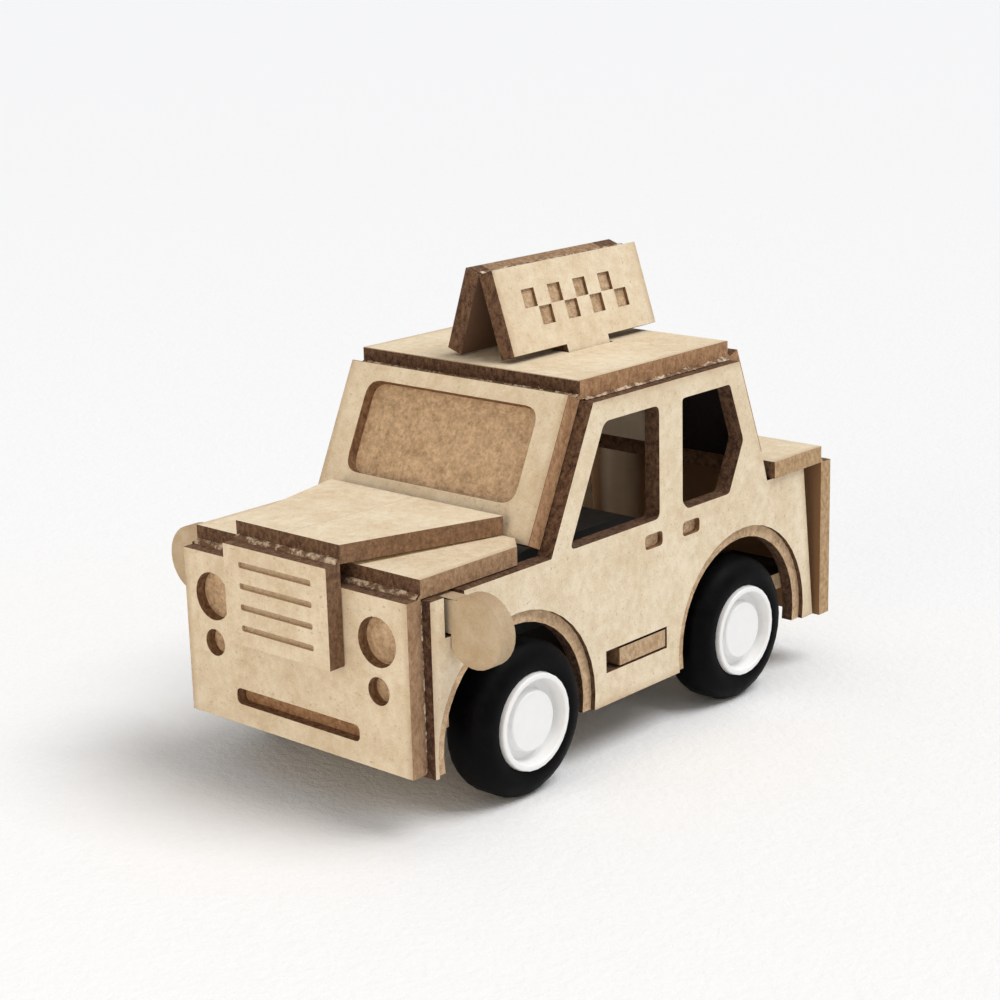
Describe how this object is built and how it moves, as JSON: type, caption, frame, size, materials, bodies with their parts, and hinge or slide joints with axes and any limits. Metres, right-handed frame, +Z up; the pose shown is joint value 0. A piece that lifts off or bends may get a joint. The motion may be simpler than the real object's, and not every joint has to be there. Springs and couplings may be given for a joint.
{
  "type": "cardboard toy car",
  "caption": "Laser-cut folded cardboard toy saloon with a roof sign, mirror ears and free-rolling wheels, the rear axle geared to a pull-back spring motor inside.",
  "frame": {"origin": "on the ground, below the middle of the car's bounding box", "axes": "+Z up, -Y towards the nose, +X towards the car's left side"},
  "size_m": [0.0496, 0.074, 0.0524],
  "materials": {
    "card": "matte grey-brown chipboard with burnt cut edges",
    "steel": "plain drawn steel",
    "black_plastic": "moulded, matte",
    "gear_plastic": "natural moulded nylon",
    "white_plastic": "white, slightly glossy",
    "tyre_rubber": "smooth matte black rubber"
  },
  "bodies": {
    "card_body": {"left_side_panel": "card", "right_side_panel": "card", "roof_and_screens": "card", "roof_sign": "card", "nose_and_wings": "card", "bonnet_and_grille": "card", "boot_and_tail": "card", "mirror_bar": "card", "floor_panel": "card", "front_axle_bracket": "black_plastic", "motor_case_left": "black_plastic", "motor_case_right": "black_plastic", "idler_pin": "steel", "spring_pin": "steel", "mainspring": "steel"},
    "front_wheelset": {"front_axle": "steel", "rim_front_left": "white_plastic", "rim_front_right": "white_plastic", "tyre_front_left": "tyre_rubber", "tyre_front_right": "tyre_rubber"},
    "rear_wheelset": {"rear_axle": "steel", "axle_pinion": "gear_plastic", "rim_rear_left": "white_plastic", "rim_rear_right": "white_plastic", "tyre_rear_left": "tyre_rubber", "tyre_rear_right": "tyre_rubber"},
    "idler": {"idler_gear": "gear_plastic"},
    "spring_drum": {"spring_gear": "gear_plastic"}
  },
  "joints": [
    {"name": "front_axle_spin", "type": "hinge", "parent": "card_body", "child": "front_wheelset", "pos_m": [0, -0.0189, 0.0085], "axis": [1, 0, 0], "continuous": true},
    {"name": "rear_axle_spin", "type": "hinge", "parent": "card_body", "child": "rear_wheelset", "pos_m": [0, 0.0184, 0.0085], "axis": [1, 0, 0], "continuous": true},
    {"name": "idler_spin", "type": "hinge", "parent": "card_body", "child": "idler", "pos_m": [0, 0.01104, 0.01275], "axis": [1, 0, 0], "continuous": true},
    {"name": "spring_gear_spin", "type": "hinge", "parent": "card_body", "child": "spring_drum", "pos_m": [0, 0.00204, 0.01275], "axis": [1, 0, 0], "continuous": true}
  ],
  "couplings": [
    {"joint": "idler_spin", "follows": "rear_axle_spin", "ratio": -0.41667},
    {"joint": "spring_gear_spin", "follows": "rear_axle_spin", "ratio": 0.16026}
  ]
}
